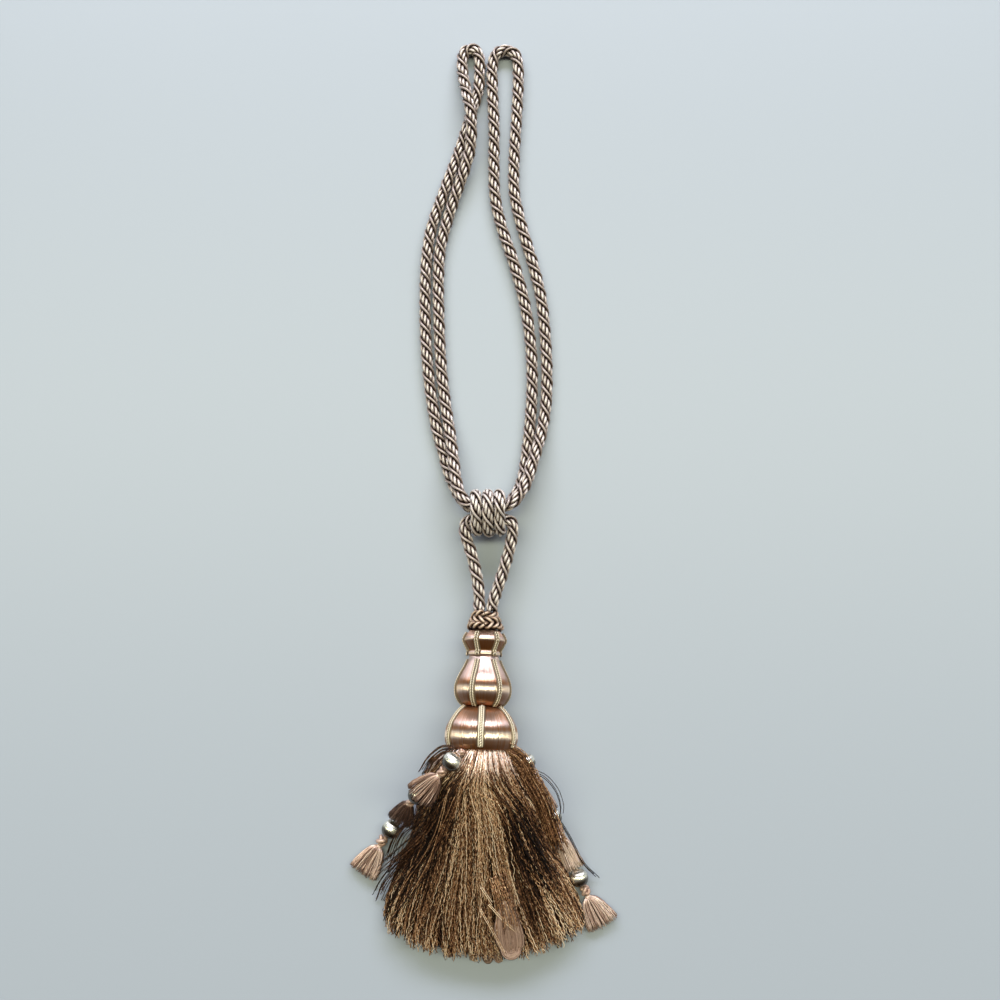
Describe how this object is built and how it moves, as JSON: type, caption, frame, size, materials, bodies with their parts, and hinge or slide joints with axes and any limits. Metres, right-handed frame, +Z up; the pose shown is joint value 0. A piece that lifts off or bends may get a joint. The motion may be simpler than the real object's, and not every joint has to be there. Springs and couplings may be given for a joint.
{
  "type": "curtain tieback tassel",
  "caption": "Curtain tieback with a folded loop of laid rope and a rope barrel, a tiered thread-covered head, a fanned cut skirt and chains of beads and small tassels.",
  "frame": {"origin": "on the surface it lies on, at the middle of the tassel's own box without its ropes", "axes": "+Z up from the surface, +Y along the tassel from the skirt's cut end to the ropes, +X across it"},
  "size_m": [0.2024, 0.7281, 0.0625],
  "materials": {
    "rope": "laid rope of twisted satin yarn",
    "plaited_cord": "plaited satin cord",
    "head_thread": "satin thread wound lengthwise",
    "gimp": "twisted satin braid",
    "yarn": "crimped cut yarn",
    "hank_yarn": "uncut crimped yarn",
    "bead_thread": "satin thread over a bead",
    "rose_thread": "fine matt thread"
  },
  "bodies": {
    "root": {"embrace_rope": "rope", "hanging_loop": "rope", "barrel_wrap": "rope", "collar": "plaited_cord", "head_cap": "head_thread", "head_vase": "head_thread", "head_dome": "head_thread", "gimp_cap_1": "gimp", "gimp_cap_2": "gimp", "gimp_cap_3": "gimp", "gimp_cap_4": "gimp", "gimp_cap_5": "gimp", "gimp_cap_6": "gimp", "gimp_vase_1": "gimp", "gimp_vase_2": "gimp", "gimp_vase_3": "gimp", "gimp_vase_4": "gimp", "gimp_vase_5": "gimp", "gimp_vase_6": "gimp", "gimp_dome_1": "gimp", "gimp_dome_2": "gimp", "gimp_dome_3": "gimp", "gimp_dome_4": "gimp", "gimp_dome_5": "gimp", "gimp_dome_6": "gimp", "skirt": "yarn", "uncut_hank": "hank_yarn", "bead_left_upper": "bead_thread", "bead_left_middle": "bead_thread", "bead_left_lower": "bead_thread", "bead_right_upper": "bead_thread", "bead_right_middle": "bead_thread", "bead_right_lower": "bead_thread", "knot_left_top": "rose_thread", "knot_left_upper": "rose_thread", "knot_left_middle": "rose_thread", "knot_left_lower": "rose_thread", "knot_right_upper": "rose_thread", "knot_right_middle": "rose_thread", "knot_right_lower": "rose_thread", "small_tassel_left_upper": "rose_thread", "small_tassel_left_middle": "rose_thread", "small_tassel_left_lower": "rose_thread", "small_tassel_right_upper": "rose_thread", "small_tassel_right_middle": "rose_thread", "small_tassel_right_lower": "rose_thread"}
  },
  "joints": []
}
